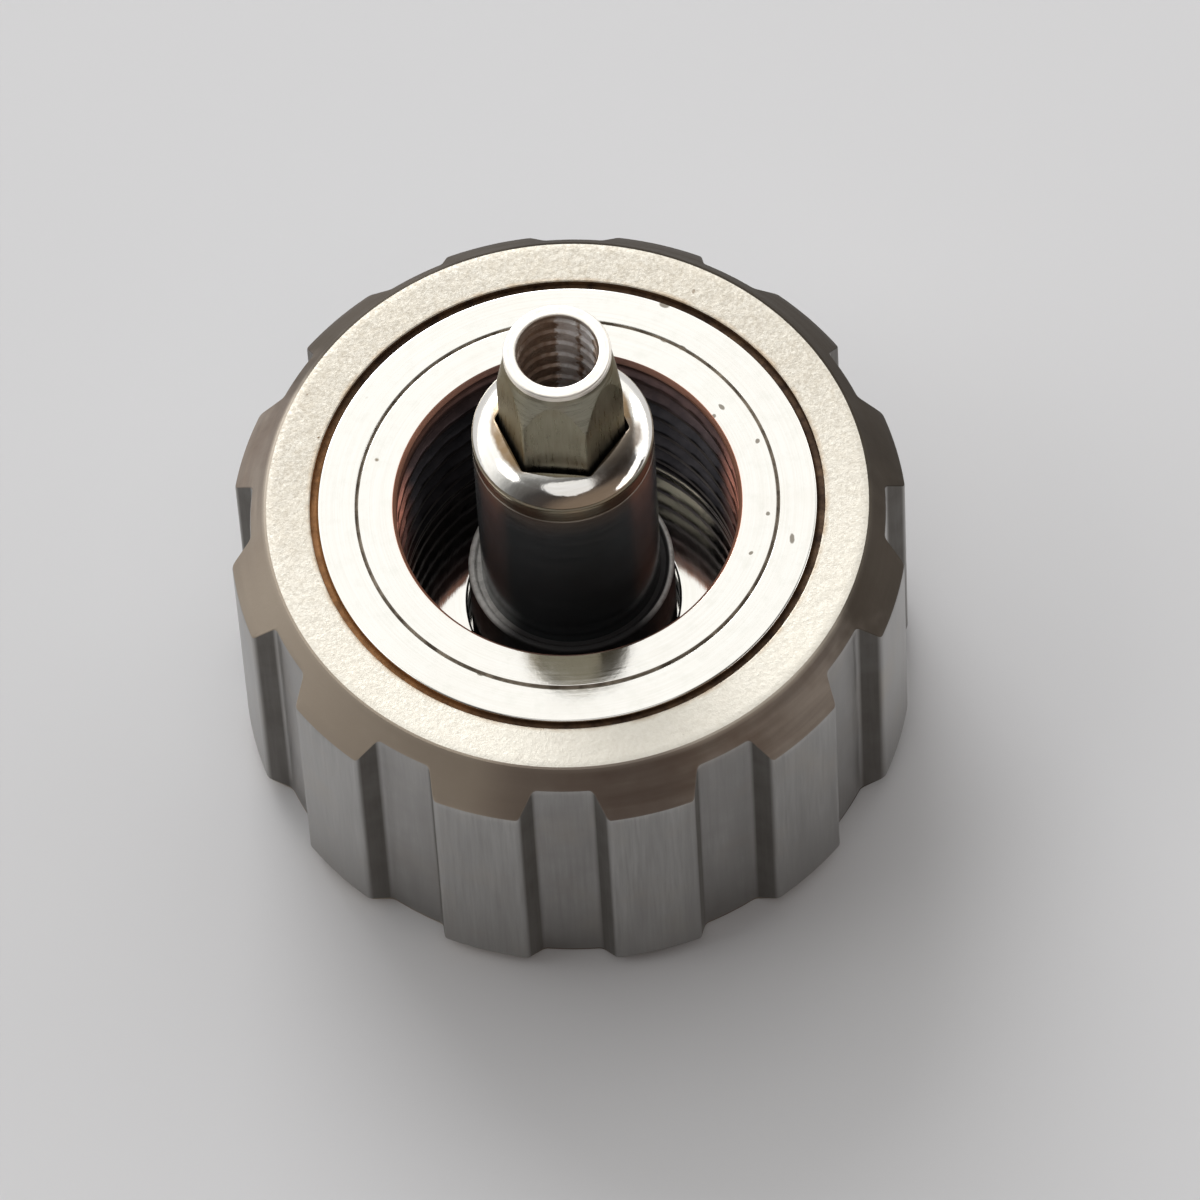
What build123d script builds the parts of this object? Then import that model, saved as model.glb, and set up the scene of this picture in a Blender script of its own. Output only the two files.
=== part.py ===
from build123d import *
import os
from math import cos, sin, radians, sqrt

# Screw-down watch crown, millimetres.
# z = 0 is the crown's flat outer face, +Z runs along the axis towards the
# stem, and one flute land is centred on +X.

# ---- fluted cap -----------------------------------------------------------
tip_r = 3.50            # over the flute lands (7.0 mm crown)
valley_r = 3.28         # floor of the valleys between the lands
flutes = 12
land_half_deg = 7.4     # half of a land, at the tip radius
valley_half_deg = 5.3   # half of a valley floor
rim_z = 3.65            # height of the cap, outer face to rim
rim_r = 3.125           # outer edge of the flat rim ring
bevel_h = 0.48          # height of the bevel under the rim
face_r = 3.26           # outer edge of the flat outer face
face_bevel_h = 0.17     # height of the bevel beside the outer face
cavity_r = 2.65         # bore that takes the core cup
cap_floor_z = 0.75      # thickness of the closed end

# ---- core cup, pressed into the cap ---------------------------------------
cup_top_r = 2.57        # ring seen inside the groove
groove_h = 0.14         # depth of the groove round the cup's top
cup_bore_r = 2.174
cup_floor_z0 = 0.97
cup_floor_z1 = 1.22
cup_hole_r = 0.95
foot_recess_r = 1.42
line_chamfer = 0.026    # edge breaks that make the thin line

# ---- threaded bush, pressed into the cup ----------------------------------
bush_z0 = 1.67
bush_bore_r = 1.80      # mean of the thread's crest and root
bush_mouth_r = 1.835    # edge break at the mouth

# ---- seals at the bottom of the cavity ------------------------------------
gasket_z0, gasket_z1 = 1.22, 1.52
gasket_r0, gasket_r1 = 1.12, 2.15
washer_z1 = 1.67
washer_r0, washer_r1 = 1.11, 2.15
seal_z1 = 2.42
seal_r1 = 1.07
seal_round = 0.06

# ---- barrel ---------------------------------------------------------------
barrel_r = 0.93
barrel_bore_r = 0.79
barrel_top_z = 4.87
barrel_floor_z = 1.05
foot_r = 1.40

# ---- hexagonal guide bush in the barrel's mouth ---------------------------
guide_z0, guide_z1 = 4.62, 5.30
guide_af = 1.20         # across flats of the hexagonal hole
dome_r0 = 0.55          # the collar's top is a dome outside this radius
dome_round = 0.45       # radius of the dome's arc
hex_deg = 10.5          # direction of one flat, from +X

# ---- stem post ------------------------------------------------------------
tip_z = 6.72
post_af = 1.12
post_round_r = 0.55     # round tip
post_round_h = 0.14     # length of the round tip
post_lead_h = 0.55      # cone from the round tip out to the turned corners
post_corner_r = 0.642   # turned corners of the hexagon
head_r = 0.77
head_z0, head_z1 = 4.20, 4.60
tail_r = 0.40
tail_z0 = 3.20
tap_r = 0.42            # mean radius of the tapped hole's thread
tap_depth = 1.90
tap_mouth_r = 0.43

# ---- thrust washer and spring ---------------------------------------------
thrust_z0 = 4.06
thrust_r0, thrust_r1 = 0.42, 0.76
spring_mean_r = 0.67
wire_r = 0.08
spring_turns = 7.5
spring_gap = 0.004      # clear of its two seats


def lathe(points):
    """A closed solid of revolution about Z from (radius, z) points."""
    return revolve(Plane.XZ * make_face(Polyline(*points, close=True)), Axis.Z)


def tube(r0, r1, z0, z1):
    return lathe([(r0, z0), (r1, z0), (r1, z1), (r0, z1)])


def polar(r, deg):
    return (r * cos(radians(deg)), r * sin(radians(deg)))


def hexagon(af, z0, z1):
    """A hexagonal prism with one flat facing hex_deg."""
    sketch = Plane.XY.offset(z0) * RegularPolygon(af / sqrt(3), 6)
    return Rot(0, 0, hex_deg + 30) * extrude(sketch, z1 - z0)


# ---- cap: twelve lands round the turned blank, closed at the outer face ----
edges = []
step = 360 / flutes
for k in range(flutes):
    mid = k * step
    a0, a1 = mid - land_half_deg, mid + land_half_deg
    v = mid + step / 2
    v0, v1 = v - valley_half_deg, v + valley_half_deg
    edges.append(ThreePointArc(polar(tip_r, a0), polar(tip_r, mid), polar(tip_r, a1)))
    edges.append(Line(polar(tip_r, a1), polar(valley_r, v0)))
    edges.append(ThreePointArc(polar(valley_r, v0), polar(valley_r, v), polar(valley_r, v1)))
    edges.append(Line(polar(valley_r, v1), polar(tip_r, mid + step - land_half_deg)))
fluted = extrude(make_face(Wire(edges)), rim_z)
blank = lathe(
    [
        (0, 0),
        (face_r, 0),
        (tip_r, face_bevel_h),
        (tip_r, rim_z - bevel_h),
        (rim_r, rim_z),
        (cavity_r, rim_z),
        (cavity_r, cap_floor_z),
        (0, cap_floor_z),
    ]
)
crown_cap = fluted & blank

# ---- core cup ---------------------------------------------------------------
core_cup = lathe(
    [
        (foot_recess_r, cap_floor_z),
        (cavity_r, cap_floor_z),
        (cavity_r, rim_z - groove_h),
        (cup_top_r, rim_z - groove_h),
        (cup_top_r, rim_z),
        (cup_bore_r + line_chamfer, rim_z),
        (cup_bore_r, rim_z - line_chamfer),
        (cup_bore_r, cup_floor_z1),
        (cup_hole_r, cup_floor_z1),
        (cup_hole_r, cup_floor_z0),
        (foot_recess_r, cup_floor_z0),
    ]
)

# ---- threaded bush ------------------------------------------------------------
mouth = bush_mouth_r - bush_bore_r
thread_bush = lathe(
    [
        (bush_bore_r, bush_z0),
        (cup_bore_r, bush_z0),
        (cup_bore_r, rim_z - line_chamfer),
        (cup_bore_r - line_chamfer, rim_z),
        (bush_mouth_r, rim_z),
        (bush_bore_r, rim_z - mouth),
    ]
)

# ---- seals --------------------------------------------------------------------
flat_gasket = tube(gasket_r0, gasket_r1, gasket_z0, gasket_z1)
retainer_washer = tube(washer_r0, washer_r1, gasket_z1, washer_z1)
ring_profile = Polyline(
    (barrel_r, gasket_z0),
    (seal_r1, gasket_z0),
    (seal_r1, seal_z1 - seal_round),
)
ring_edge = ThreePointArc(
    (seal_r1, seal_z1 - seal_round),
    (seal_r1 - seal_round * (1 - cos(radians(45))), seal_z1 - seal_round * (1 - sin(radians(45)))),
    (seal_r1 - seal_round, seal_z1),
)
ring_close = Polyline((seal_r1 - seal_round, seal_z1), (barrel_r, seal_z1), (barrel_r, gasket_z0))
barrel_seal = revolve(Plane.XZ * make_face(Wire([*ring_profile.edges(), ring_edge, *ring_close.edges()])), Axis.Z)

# ---- barrel: closed foot held under the cup's floor ------------------------------
barrel = lathe(
    [
        (0, cap_floor_z),
        (foot_r, cap_floor_z),
        (foot_r, cup_floor_z0),
        (barrel_r, cup_floor_z0),
        (barrel_r, barrel_top_z),
        (barrel_bore_r, barrel_top_z),
        (barrel_bore_r, barrel_floor_z),
        (0, barrel_floor_z),
    ]
)

# ---- guide bush ------------------------------------------------------------------
dome_drop = dome_round - sqrt(dome_round**2 - (barrel_r - dome_r0) ** 2)
half = 0.5 * (barrel_r - dome_r0)
flange = Polyline(
    (0, guide_z0),
    (barrel_bore_r, guide_z0),
    (barrel_bore_r, barrel_top_z),
    (barrel_r, barrel_top_z),
    (barrel_r, guide_z1 - dome_drop),
)
flange_edge = ThreePointArc(
    (barrel_r, guide_z1 - dome_drop),
    (dome_r0 + half, guide_z1 - dome_round + sqrt(dome_round**2 - half**2)),
    (dome_r0, guide_z1),
)
flange_close = Polyline(
    (dome_r0, guide_z1),
    (0, guide_z1),
    (0, guide_z0),
)
hex_guide = revolve(
    Plane.XZ * make_face(Wire([*flange.edges(), flange_edge, *flange_close.edges()])), Axis.Z
) - hexagon(guide_af, guide_z0 - 0.5, guide_z1 + 0.5)

# ---- stem post: hexagon, round tip, head, tail and tapped hole --------------------
corner_r = post_corner_r
hex_part = hexagon(post_af, head_z1, tip_z) & lathe(
    [
        (0, head_z1),
        (corner_r, head_z1),
        (corner_r, tip_z - post_round_h - post_lead_h),
        (post_round_r, tip_z - post_round_h),
        (post_round_r, tip_z - 0.03),
        (post_round_r - 0.03, tip_z),
        (0, tip_z),
    ]
)
head_part = lathe(
    [
        (0, tail_z0),
        (tail_r - 0.05, tail_z0),
        (tail_r, tail_z0 + 0.05),
        (tail_r, head_z0),
        (head_r - 0.03, head_z0),
        (head_r, head_z0 + 0.03),
        (head_r, head_z1 - 0.03),
        (head_r - 0.03, head_z1),
        (0, head_z1),
    ]
)
tap_mouth = tap_mouth_r - tap_r
tapped = lathe(
    [
        (0, tip_z + 0.1),
        (tap_mouth_r, tip_z + 0.1),
        (tap_mouth_r, tip_z),
        (tap_r, tip_z - tap_mouth),
        (tap_r, tip_z - tap_depth),
        (0, tip_z - tap_depth - tap_r * 0.55),
    ]
)
stem_post = hex_part + head_part - tapped

# ---- thrust washer and spring ---------------------------------------------------------
thrust_washer = tube(thrust_r0, thrust_r1, thrust_z0, head_z0)
spring_z0 = barrel_floor_z + wire_r + spring_gap
spring_z1 = thrust_z0 - wire_r - spring_gap
spring_h = spring_z1 - spring_z0
helix = Helix(pitch=spring_h / spring_turns, height=spring_h, radius=spring_mean_r, center=(0, 0, spring_z0))
wire_section = Plane(origin=helix @ 0, z_dir=helix % 0) * Circle(wire_r)
clutch_spring = sweep(wire_section, path=helix, is_frenet=True)

pieces = {
    "crown_cap": crown_cap,
    "core_cup": core_cup,
    "thread_bush": thread_bush,
    "flat_gasket": flat_gasket,
    "retainer_washer": retainer_washer,
    "barrel_seal": barrel_seal,
    "barrel": barrel,
    "hex_guide": hex_guide,
    "stem_post": stem_post,
    "thrust_washer": thrust_washer,
    "clutch_spring": clutch_spring,
}

os.makedirs("parts", exist_ok=True)
for name, solid in pieces.items():
    solid.label = name
    export_step(solid, f"parts/{name}.step")
    box = solid.bounding_box()
    print(name, len(solid.solids()), round(solid.volume, 4), [round(v, 3) for v in (*box.min, *box.max)])
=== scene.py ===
import math

import bpy
import numpy as np
from mathutils import Matrix, Vector


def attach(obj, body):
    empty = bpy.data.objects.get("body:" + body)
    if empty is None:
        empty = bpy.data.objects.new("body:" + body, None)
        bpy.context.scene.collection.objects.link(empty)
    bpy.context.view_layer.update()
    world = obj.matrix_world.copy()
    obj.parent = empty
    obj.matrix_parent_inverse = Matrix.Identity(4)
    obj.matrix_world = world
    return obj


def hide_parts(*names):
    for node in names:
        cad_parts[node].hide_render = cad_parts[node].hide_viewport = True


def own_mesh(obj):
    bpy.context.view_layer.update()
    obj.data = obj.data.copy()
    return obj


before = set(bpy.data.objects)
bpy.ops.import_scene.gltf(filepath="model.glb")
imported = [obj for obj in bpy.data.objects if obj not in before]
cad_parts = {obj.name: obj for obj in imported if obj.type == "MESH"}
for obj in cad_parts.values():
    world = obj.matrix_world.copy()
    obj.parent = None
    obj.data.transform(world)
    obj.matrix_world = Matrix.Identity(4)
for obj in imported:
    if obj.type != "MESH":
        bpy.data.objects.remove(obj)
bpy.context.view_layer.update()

MM = 0.001
rad = math.radians

# ---------------------------------------------------------------- sizes (mm)
TIP_R, VALLEY_R, FLUTES = 3.50, 3.28, 12
LAND_HALF, VALLEY_HALF = 7.4, 5.3
RIM_Z, RIM_R, BEVEL_H = 3.65, 3.125, 0.48
FACE_R, FACE_H = 3.26, 0.17
CAVITY_R, CAP_FLOOR = 2.65, 0.75
CUP_TOP_R, GROOVE_H, CUP_BORE = 2.57, 0.14, 2.174
CUP_FLOOR0, CUP_FLOOR1 = 0.97, 1.22
BUSH_Z0 = 1.67
GASKET_TOP, WASHER_TOP, SEAL_TOP = 1.52, 1.67, 2.42
BARREL_TOP, BARREL_FLOOR = 4.87, 1.05
GUIDE_Z0, GUIDE_TOP, GUIDE_AF = 4.62, 5.30, 1.20
TIP_Z, POST_AF, POST_CORNER = 6.72, 1.12, 0.642
HEAD_Z0, HEAD_TOP, TAIL_Z0, THRUST_Z0 = 4.20, 4.60, 3.20, 4.06
HEX_DEG = 10.5
STAIN_X, STAIN_Y = math.cos(rad(-100)), math.sin(rad(-100))
BACK_X, BACK_Y = math.cos(rad(45)), math.sin(rad(45))


# ------------------------------------------------------------ mesh building
def fillet(points, closed):
    """(r, z, round) corners to a list of (r, z) with each corner rounded to that radius."""
    out = []
    n = len(points)
    for i, (x, y, rr) in enumerate(points):
        if rr <= 0 or (not closed and i in (0, n - 1)):
            out.append((x, y))
            continue
        p = np.array((x, y))
        a = np.array(points[i - 1][:2]) - p
        b = np.array(points[(i + 1) % n][:2]) - p
        la, lb = np.linalg.norm(a), np.linalg.norm(b)
        a, b = a / la, b / lb
        half = math.acos(max(-1, min(1, float(a @ b)))) / 2
        if half > 1.56:
            out.append((x, y))
            continue
        cut = min(rr / math.tan(half), la * 0.49, lb * 0.49)
        rr = cut * math.tan(half)
        mid = (a + b) / np.linalg.norm(a + b)
        c = p + mid * rr / math.sin(half)
        s, e = p + a * cut, p + b * cut
        off = min(0.006, (la * 0.49 - cut) * 0.8, (lb * 0.49 - cut) * 0.8)   # keeps the flats beside it flat
        if off > 0.0008:
            out.append(tuple(s + a * off))
        a0 = math.atan2(*(s - c)[::-1])
        a1 = math.atan2(*(e - c)[::-1])
        d = (a1 - a0 + math.pi) % (2 * math.pi) - math.pi
        k = 5
        for j in range(k + 1):
            t = a0 + d * j / k
            out.append((c[0] + rr * math.cos(t), c[1] + rr * math.sin(t)))
        if off > 0.0008:
            out.append(tuple(e + b * off))
    return out


def skin(name, rings, bands, materials, loop=False, angle=28):
    """A closed mesh from rings of points. A ring is an (n, 3) array, or one point for a pole. bands[i] is the material index of the band from ring i to the next."""
    verts, starts, sizes = [], [], []
    for r in rings:
        r = np.atleast_2d(np.asarray(r, float))
        starts.append(sum(sizes))
        sizes.append(len(r))
        verts.append(r)
    v = np.concatenate(verts) * MM
    faces, mats = [], []
    pairs = len(rings) if loop else len(rings) - 1
    for i in range(pairs):
        j = (i + 1) % len(rings)
        a, b, na, nb = starts[i], starts[j], sizes[i], sizes[j]
        n = max(na, nb)
        for k in range(n):
            m = (k + 1) % n
            if na == 1:
                f = (a, b + m, b + k)
            elif nb == 1:
                f = (a + k, a + m, b)
            else:
                f = (a + k, a + m, b + m, b + k)
            faces.append(f)
            mats.append(bands[i])
    me = bpy.data.meshes.new(name)
    me.from_pydata(v.tolist(), [], faces)
    me.validate()
    me.update()
    for m in materials:
        me.materials.append(m)
    me.polygons.foreach_set("material_index", mats)
    me.polygons.foreach_set("use_smooth", [True] * len(mats))
    me.update()
    # outward normals: the signed volume tells which way the rings ran
    co = np.empty(len(me.vertices) * 3)
    me.vertices.foreach_get("co", co)
    co = co.reshape(-1, 3)
    me.calc_loop_triangles()
    tri = np.empty(len(me.loop_triangles) * 3, dtype=np.int64)
    me.loop_triangles.foreach_get("vertices", tri)
    tri = tri.reshape(-1, 3)
    vol = np.einsum("ij,ij->i", co[tri[:, 0]], np.cross(co[tri[:, 1]], co[tri[:, 2]])).sum()
    if vol < 0:
        me.flip_normals()
    me.set_sharp_from_angle(angle=rad(angle))
    me.update()
    o = bpy.data.objects.new(name, me)
    bpy.context.scene.collection.objects.link(o)
    return o


def ring(r, z, theta):
    r = np.broadcast_to(r, theta.shape)
    z = np.broadcast_to(z, theta.shape)
    return np.c_[r * np.cos(theta), r * np.sin(theta), z]


def lathe(name, profile, materials, band=None, segments=256, loop=True, angle=28):
    """Revolves (r, z) points. band(r, z) gives the material index at the middle of a band."""
    theta = np.arange(segments) * 2 * math.pi / segments
    rings = [(0, 0, z) if r < 1e-9 else ring(r, z, theta) for r, z in profile]
    n = len(profile)
    bands = []
    for i in range(n):
        (r0, z0), (r1, z1) = profile[i], profile[(i + 1) % n]
        bands.append(band((r0 + r1) / 2, (z0 + z1) / 2) if band else 0)
    return skin(name, rings, bands, materials, loop, angle)


def thread_rows(crest, root, pitch, z0, z1, theta, rows, fade0, fade1, phase=0.0):
    """Rings of a right-hand internal thread with 60 degree flanks, fading to the crest radius at both ends."""
    out = []
    gain = 0.5 * pitch / ((root - crest) * math.tan(rad(30)))
    flat = (1 - 1 / gain) / 2                      # share of the pitch in each flat
    for z in np.linspace(z0, z1, rows):
        t = (z / pitch - theta / (2 * math.pi) + phase) % 1.0
        tri = np.abs(t * 2 - 1)                    # 0 at the root's middle, 1 at the crest
        shape = np.clip((1 - tri - flat) * gain, 0, 1)
        shape = shape * shape * (3 - 2 * shape) * 0.25 + shape * 0.75
        f = min(1.0, abs(z - z0) / fade0 if fade0 else 1.0, abs(z - z1) / fade1 if fade1 else 1.0)
        out.append(ring(crest + (root - crest) * shape * f, z, theta))
    return out


# ------------------------------------------------------------------ materials
class Net:
    """Short names for building a material's nodes."""

    def __init__(self, name):
        self.m = bpy.data.materials.new(name)
        self.m.use_nodes = True
        self.t = self.m.node_tree
        self.bsdf = next(n for n in self.t.nodes if n.type == "BSDF_PRINCIPLED")
        c = self.node("ShaderNodeTexCoord")
        mp = self.node("ShaderNodeMapping")
        mp.inputs["Scale"].default_value = (1000, 1000, 1000)
        self.link(c.outputs["Object"], mp.inputs["Vector"])
        self.p = mp.outputs["Vector"]              # the place in millimetres
        s = self.node("ShaderNodeSeparateXYZ")
        self.link(self.p, s.inputs[0])
        self.x, self.y, self.z = s.outputs
        self._r = self._around = None

    def node(self, kind):
        return self.t.nodes.new(kind)

    def link(self, a, b):
        self.t.links.new(a, b)

    def put(self, value, socket):
        if hasattr(value, "is_output"):
            self.link(value, socket)
        else:
            socket.default_value = value

    def math(self, op, a, b=None, c=None, clamp=False):
        n = self.node("ShaderNodeMath")
        n.operation, n.use_clamp = op, clamp
        for v, s in zip((a, b, c), n.inputs):
            if v is not None:
                self.put(v, s)
        return n.outputs[0]

    def r(self):
        if self._r is None:
            self._r = self.math("SQRT", self.math("ADD", self.math("MULTIPLY", self.x, self.x), self.math("MULTIPLY", self.y, self.y)))
        return self._r

    def around(self, turn=1.0, across=1.0, up=1.0):
        """A vector whose noise runs in circles round the axis: turn sets how fast it changes round, across how fast along the radius."""
        r = self.r()
        cx = self.math("DIVIDE", self.x, self.math("MAXIMUM", r, 0.001))
        cy = self.math("DIVIDE", self.y, self.math("MAXIMUM", r, 0.001))
        n = self.node("ShaderNodeCombineXYZ")
        self.link(self.math("MULTIPLY", cx, turn), n.inputs[0])
        self.link(self.math("MULTIPLY", cy, turn), n.inputs[1])
        self.link(self.math("ADD", self.math("MULTIPLY", r, across), self.math("MULTIPLY", self.z, up)), n.inputs[2])
        return n.outputs[0]

    def stretched(self, x, y, z):
        n = self.node("ShaderNodeVectorMath")
        n.operation = "MULTIPLY"
        self.link(self.p, n.inputs[0])
        n.inputs[1].default_value = (x, y, z)
        return n.outputs[0]

    def noise(self, scale, detail=3.0, rough=0.55, vector=None, distortion=0.0):
        n = self.node("ShaderNodeTexNoise")
        self.link(vector or self.p, n.inputs["Vector"])
        n.inputs["Scale"].default_value = scale
        n.inputs["Detail"].default_value = detail
        n.inputs["Roughness"].default_value = rough
        n.inputs["Distortion"].default_value = distortion
        return n.outputs["Fac"]

    def cells(self, scale, vector=None, feature="F1", randomness=1.0):
        n = self.node("ShaderNodeTexVoronoi")
        n.feature = feature
        self.link(vector or self.p, n.inputs["Vector"])
        n.inputs["Scale"].default_value = scale
        n.inputs["Randomness"].default_value = randomness
        return n.outputs["Distance"]

    def span(self, v, a, b, c=0.0, d=1.0, smooth=False):
        n = self.node("ShaderNodeMapRange")
        n.clamp = True
        if smooth:
            n.interpolation_type = "SMOOTHSTEP"
        self.put(v, n.inputs["Value"])
        for k, val in zip(("From Min", "From Max", "To Min", "To Max"), (a, b, c, d)):
            n.inputs[k].default_value = val
        return n.outputs["Result"]

    def mix(self, f, a, b):
        n = self.node("ShaderNodeMix")
        n.data_type = "RGBA"
        self.put(f, n.inputs[0])
        self.put(a, n.inputs[6])
        self.put(b, n.inputs[7])
        return n.outputs[2]

    def bump(self, height, strength, distance_mm, normal=None):
        n = self.node("ShaderNodeBump")
        n.inputs["Strength"].default_value = strength
        n.inputs["Distance"].default_value = distance_mm * MM
        self.link(height, n.inputs["Height"])
        if normal is not None:
            self.link(normal, n.inputs["Normal"])
        return n.outputs["Normal"]

    def spot(self, x, y, size, long=1.0, deg=0.0):
        """1 inside an uneven mark centred at x, y, 0 outside it."""
        c, q = math.cos(rad(deg)), math.sin(rad(deg))
        wob = self.math("MULTIPLY", self.math("SUBTRACT", self.noise(14, 2), 0.5), size * 0.9)
        dx = self.math("ADD", self.math("SUBTRACT", self.x, x), wob)
        dy = self.math("SUBTRACT", self.y, y)
        u = self.math("DIVIDE", self.math("ADD", self.math("MULTIPLY", dx, c), self.math("MULTIPLY", dy, q)), long)
        v = self.math("SUBTRACT", self.math("MULTIPLY", dy, c), self.math("MULTIPLY", dx, q))
        d = self.math("SQRT", self.math("ADD", self.math("MULTIPLY", u, u), self.math("MULTIPLY", v, v)))
        return self.span(d, size * 0.75, size * 1.15, 1, 0, True)

    def spots(self, marks):
        out = None
        for m in marks:
            k = self.spot(*m)
            out = k if out is None else self.math("MAXIMUM", out, k)
        return out

    def done(self, color=None, rough=None, normal=None, metallic=1.0, **more):
        b = self.bsdf
        b.inputs["Metallic"].default_value = metallic
        if color is not None:
            self.put(color, b.inputs["Base Color"])
        if rough is not None:
            self.put(rough, b.inputs["Roughness"])
        if normal is not None:
            self.link(normal, b.inputs["Normal"])
        for k, v in more.items():
            b.inputs[k.replace("_", " ")].default_value = v
        return self.m


def rgb(r, g, b):
    return (r, g, b, 1.0)


def blasted_rim():
    n = Net("cap_rim_blasted")
    fine = n.noise(30, 4, 0.65)
    mid = n.noise(8, 3, 0.6)
    big = n.noise(1.1, 2, 0.5)
    col = n.mix(n.span(fine, 0.34, 0.66), rgb(0.535, 0.495, 0.425), rgb(0.685, 0.655, 0.59))
    col = n.mix(n.span(mid, 0.48, 0.75, 0, 0.35), col, rgb(0.58, 0.525, 0.43))
    col = n.mix(n.span(big, 0.35, 0.75, 0, 0.22), col, rgb(0.60, 0.54, 0.44))
    speck = n.span(n.cells(4.2), 0.035, 0.075, 1, 0)
    keep = n.span(n.noise(2.3, 2), 0.50, 0.57)
    dark = n.math("MULTIPLY", speck, keep)
    dark = n.math("MAXIMUM", dark, n.math("MULTIPLY", n.spots([(-1.20, -2.77, 0.028, 2.2, 20), (1.88, 2.11, 0.018, 1.6, 60)]), 0.6))
    col = n.mix(dark, col, rgb(0.20, 0.14, 0.09))
    # painted light: the front part of the rim is mixed towards a lighter ivory
    lit_front = n.math("DIVIDE", n.math("ADD", n.math("MULTIPLY", n.x, math.cos(rad(-90))), n.math("MULTIPLY", n.y, math.sin(rad(-90)))), n.r())
    col = n.mix(n.span(lit_front, -0.4, 0.9, 0, 0.72), col, rgb(0.91, 0.875, 0.79))
    inner = n.span(n.r(), 2.655, 2.71, 1, 0)
    col = n.mix(n.math("MULTIPLY", inner, n.span(n.noise(5, 3), 0.4, 0.62, 0.10, 0.65)), col, rgb(0.42, 0.28, 0.15))
    rough = n.span(fine, 0.3, 0.7, 0.62, 0.48)
    nor = n.bump(fine, 0.35, 0.010)
    nor = n.bump(mid, 0.3, 0.014, nor)
    nor = n.bump(dark, -0.5, 0.006, nor)
    return n.done(col, rough, nor)


def turned_bevel():
    n = Net("cap_bevel_turned")
    lines = n.noise(1.0, 3, 0.7, n.around(1.2, 46, 30))
    blot = n.noise(1.6, 3, 0.6)
    col = n.mix(n.span(lines, 0.3, 0.7), rgb(0.19, 0.155, 0.128), rgb(0.33, 0.278, 0.23))
    col = n.mix(n.span(blot, 0.4, 0.7, 0, 0.6), col, rgb(0.16, 0.11, 0.08))
    edge = n.span(n.r(), 3.125, 3.16, 1, 0)
    col = n.mix(n.math("MULTIPLY", edge, 0.6), col, rgb(0.60, 0.53, 0.44))
    # painted shade darkens one side of the bevel, with a noisy edge
    side = n.math("DIVIDE", n.math("ADD", n.math("MULTIPLY", n.x, BACK_X), n.math("MULTIPLY", n.y, BACK_Y)), n.r())
    side = n.math("ADD", side, n.math("MULTIPLY", n.math("SUBTRACT", blot, 0.5), 0.5))
    shaded_side = n.span(side, -0.22, 0.20, 0, 1, True)
    col = n.mix(n.math("MULTIPLY", shaded_side, 0.90), col, rgb(0.066, 0.054, 0.042))
    col = n.mix(n.span(side, 0.35, 0.85, 0, 0.80, True), col, rgb(0.036, 0.029, 0.022))
    # painted light: the front-left side of the bevel is mixed lighter
    lit_side = n.math("DIVIDE", n.math("ADD", n.math("MULTIPLY", n.x, math.cos(rad(-148))), n.math("MULTIPLY", n.y, math.sin(rad(-148)))), n.r())
    col = n.mix(n.span(lit_side, 0.60, 0.92, 0, 0.85, True), col, rgb(0.39, 0.325, 0.255))
    # and weaker painted shade darkens the front
    front = n.math("DIVIDE", n.math("ADD", n.math("MULTIPLY", n.x, -0.174), n.math("MULTIPLY", n.y, -0.985)), n.r())
    col = n.mix(n.span(front, 0.925, 0.985, 0, 0.55, True), col, rgb(0.105, 0.075, 0.062))
    rough = n.span(lines, 0.3, 0.7, 0.42, 0.56)
    nor = n.bump(lines, 0.3, 0.006)
    nor = n.bump(n.noise(26, 3, 0.6), 0.25, 0.006, nor)
    # the painted-shade side is also made less metallic and less glossy
    n.link(n.span(shaded_side, 0, 1, 0.35, 0.0), n.bsdf.inputs["Metallic"])
    n.link(n.span(shaded_side, 0, 1, 0.25, 0.05), n.bsdf.inputs["Specular IOR Level"])
    return n.done(col, rough, nor, metallic=0.35, Specular_IOR_Level=0.25)


def brushed_flutes():
    n = Net("cap_flutes_brushed")
    streak = n.noise(1.0, 4, 0.65, n.stretched(26, 26, 1.1))
    broad = n.noise(1.0, 2, 0.5, n.stretched(4, 4, 0.6))
    blot = n.noise(1.3, 3, 0.6)
    col = n.mix(n.span(streak, 0.3, 0.7), rgb(0.33, 0.322, 0.31), rgb(0.45, 0.442, 0.43))
    col = n.mix(n.span(broad, 0.45, 0.7, 0, 0.35), col, rgb(0.30, 0.29, 0.28))
    col = n.mix(n.span(blot, 0.5, 0.75, 0, 0.35), col, rgb(0.43, 0.38, 0.315))
    # the valley floors are a little darker than the lands, and painted shade darkens the steep walls between them
    deep = n.span(n.r(), 3.29, 3.30, 1, 0)
    col = n.mix(n.math("MULTIPLY", deep, n.span(n.noise(3, 3), 0.3, 0.7, 0.15, 0.45)), col, rgb(0.29, 0.275, 0.265))
    wall_shade = n.math("MULTIPLY", n.span(n.r(), 3.284, 3.31, 0, 1), n.span(n.r(), 3.455, 3.492, 1, 0))
    col = n.mix(n.math("MULTIPLY", wall_shade, n.span(n.noise(2.6, 3), 0.3, 0.7, 0.85, 1.0)), col, rgb(0.15, 0.14, 0.127))
    # painted shade: the flutes grow darker towards the base
    low = n.span(n.z, 0.15, 1.5, 0.40, 0)
    col = n.mix(low, col, rgb(0.25, 0.24, 0.228))
    rough = n.math("ADD", n.span(streak, 0.3, 0.7, 0.30, 0.44), n.math("MULTIPLY", wall_shade, 0.25))
    nor = n.bump(streak, 0.3, 0.006)
    nor = n.bump(n.noise(30, 3, 0.6), 0.18, 0.005, nor)
    return n.done(col, rough, nor)


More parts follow.
